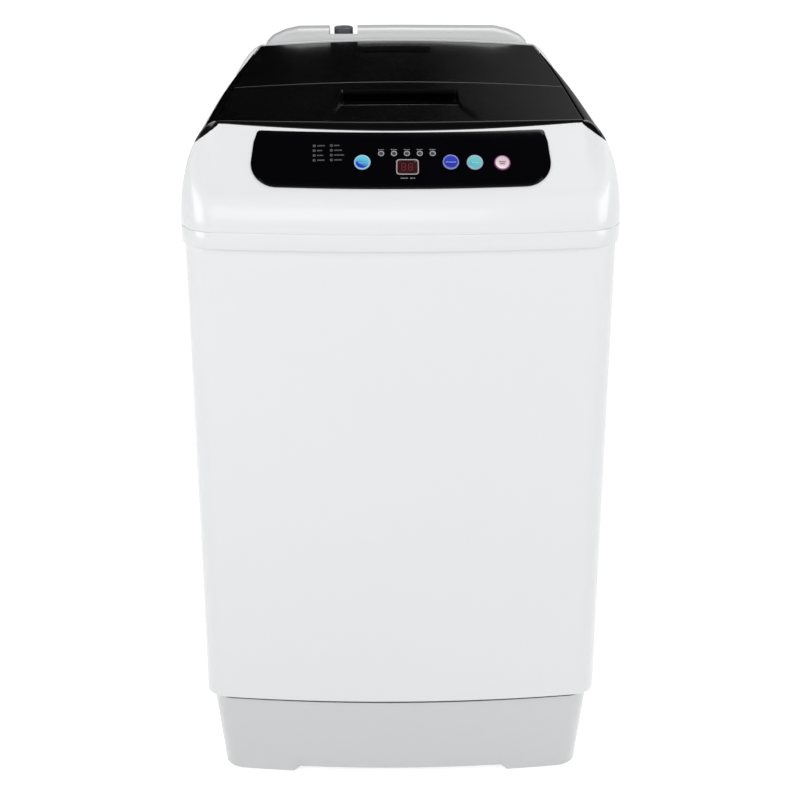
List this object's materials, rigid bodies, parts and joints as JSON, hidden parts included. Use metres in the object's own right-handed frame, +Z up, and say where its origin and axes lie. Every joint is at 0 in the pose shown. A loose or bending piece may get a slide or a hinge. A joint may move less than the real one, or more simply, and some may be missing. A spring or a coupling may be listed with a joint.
{
  "type": "top load washing machine",
  "caption": "Upright top loading washing machine with a sloping control face, a folding black lid, and a suspended tub, basket, pulsator and belt drive inside a steel cabinet.",
  "frame": {"origin": "on the floor at the centre of the footprint", "axes": "+Z up, front towards -Y, +X to the right of a person who faces the front"},
  "size_m": [0.52, 0.53, 0.9142],
  "materials": {
    "white_enamel": "gloss white enamel",
    "white_plastic": "smooth white, satin gloss",
    "black_gloss": "piano black",
    "black_matte": "fine matte black",
    "smoked_panel": "smoked black, high gloss",
    "display_red": "dark red window",
    "lens_white": "translucent white",
    "key_teal": "pearl teal",
    "key_blue": "pearl blue",
    "key_green": "pearl turquoise",
    "key_pink": "pearl pink with a white centre",
    "zinc_steel": "zinc plated",
    "stainless": "brushed stainless",
    "grey_cast": "cast, lightly blasted",
    "motor_black": "satin black enamel",
    "rubber_black": "moulded",
    "tub_plastic": "moulded polypropylene",
    "pale_plastic": "natural moulded",
    "grey_plastic": "dark grey moulded",
    "pulsator_blue": "pale blue, smooth",
    "board_green": "coated circuit board"
  },
  "bodies": {
    "washer_frame": {"cabinet": "white_enamel", "rear_panel": "zinc_steel", "base_skirt": "white_plastic", "fixed_feet": "rubber_black", "corner_brackets": "zinc_steel", "top_cover": "white_plastic", "lid_surround": "black_gloss", "rear_console": "white_plastic", "control_overlay": "black_gloss", "display_window": "display_red", "indicator_lenses": "lens_white", "control_board": "board_green", "board_spacers": "pale_plastic", "inlet_valve": "grey_plastic", "inlet_box": "pale_plastic", "level_sensor": "pale_plastic", "suspension_rods": "zinc_steel", "drain_outlet": "grey_plastic", "rear_panel_screws": "zinc_steel", "cover_screws": "zinc_steel"},
    "levelling_foot": {"adjustable_foot": "rubber_black"},
    "lid_rear_half": {"lid_rear": "smoked_panel", "lid_slot_insert": "black_matte", "lid_hinge_pins": "zinc_steel", "lid_fold_pins": "zinc_steel", "fold_leaves_rear": "black_matte"},
    "lid_front_half": {"lid_front": "smoked_panel", "lid_handle_cup": "black_matte", "fold_leaves_front": "black_matte"},
    "tub_unit": {"outer_tub": "tub_plastic", "tub_cover": "tub_plastic", "support_plate": "zinc_steel", "clutch_housing": "grey_cast", "motor": "motor_black", "motor_mounts": "rubber_black", "drive_belt": "rubber_black", "drain_valve": "pale_plastic", "damper_cups": "grey_plastic", "shaft_seal": "rubber_black", "run_capacitor": "grey_cast", "suspension_springs": "zinc_steel", "drain_bellows": "rubber_black"},
    "basket_unit": {"basket": "stainless", "basket_base": "tub_plastic", "balance_ring": "tub_plastic", "spin_shaft": "zinc_steel", "lint_filter": "pulsator_blue"},
    "pulsator_unit": {"pulsator": "pulsator_blue", "wash_shaft": "zinc_steel", "pulsator_screw": "zinc_steel"},
    "clutch_pulley_unit": {"clutch_pulley": "grey_cast"},
    "motor_pulley_unit": {"motor_pulley": "grey_cast"},
    "program_key": {"program_button": "key_teal"},
    "water_level_key": {"water_level_button": "key_blue"},
    "process_key": {"process_button": "key_green"},
    "start_key": {"start_button": "key_pink"}
  },
  "joints": [
    {"name": "foot_adjust", "type": "slide", "parent": "washer_frame", "child": "levelling_foot", "axis": [0, 0, -1], "range_m": [0, 0.012]},
    {"name": "lid_open", "type": "hinge", "parent": "washer_frame", "child": "lid_rear_half", "pos_m": [0, 0.192, 0.8895], "axis": [-1, 0, 0], "range_deg": [0, 85]},
    {"name": "lid_fold", "type": "hinge", "parent": "lid_rear_half", "child": "lid_front_half", "pos_m": [0, -0.011, 0.8714], "axis": [1, 0, 0], "range_deg": [0, 158]},
    {"name": "tub_bounce", "type": "slide", "parent": "washer_frame", "child": "tub_unit", "axis": [0, 0, 1], "range_m": [-0.015, 0.01], "stiffness_N_per_m": 9000, "springref_m": 0.0301, "deforming": ["suspension_springs", "drain_bellows"]},
    {"name": "basket_spin", "type": "hinge", "parent": "tub_unit", "child": "basket_unit", "pos_m": [0, 0, 0.2], "axis": [0, 0, 1], "continuous": true},
    {"name": "pulsator_spin", "type": "hinge", "parent": "basket_unit", "child": "pulsator_unit", "pos_m": [0, 0, 0.24], "axis": [0, 0, 1], "continuous": true},
    {"name": "clutch_pulley_spin", "type": "hinge", "parent": "tub_unit", "child": "clutch_pulley_unit", "pos_m": [0, 0, 0.062], "axis": [0, 0, 1], "continuous": true},
    {"name": "motor_pulley_spin", "type": "hinge", "parent": "tub_unit", "child": "motor_pulley_unit", "pos_m": [-0.1289, 0.08055, 0.062], "axis": [0, 0, 1], "continuous": true},
    {"name": "program_press", "type": "slide", "parent": "washer_frame", "child": "program_key", "axis": [0, 0.7071, -0.7071], "range_m": [0, 0.0015], "stiffness_N_per_m": 600, "springref_m": -0.0015},
    {"name": "water_level_press", "type": "slide", "parent": "washer_frame", "child": "water_level_key", "axis": [0, 0.7071, -0.7071], "range_m": [0, 0.0015], "stiffness_N_per_m": 600, "springref_m": -0.0015},
    {"name": "process_press", "type": "slide", "parent": "washer_frame", "child": "process_key", "axis": [0, 0.7071, -0.7071], "range_m": [0, 0.0015], "stiffness_N_per_m": 600, "springref_m": -0.0015},
    {"name": "start_press", "type": "slide", "parent": "washer_frame", "child": "start_key", "axis": [0, 0.7071, -0.7071], "range_m": [0, 0.0015], "stiffness_N_per_m": 600, "springref_m": -0.0015}
  ],
  "couplings": [
    {"joint": "lid_fold", "follows": "lid_open", "ratio": 1.85},
    {"joint": "clutch_pulley_spin", "follows": "pulsator_spin", "ratio": 5.2},
    {"joint": "motor_pulley_spin", "follows": "pulsator_spin", "ratio": 14.87}
  ]
}
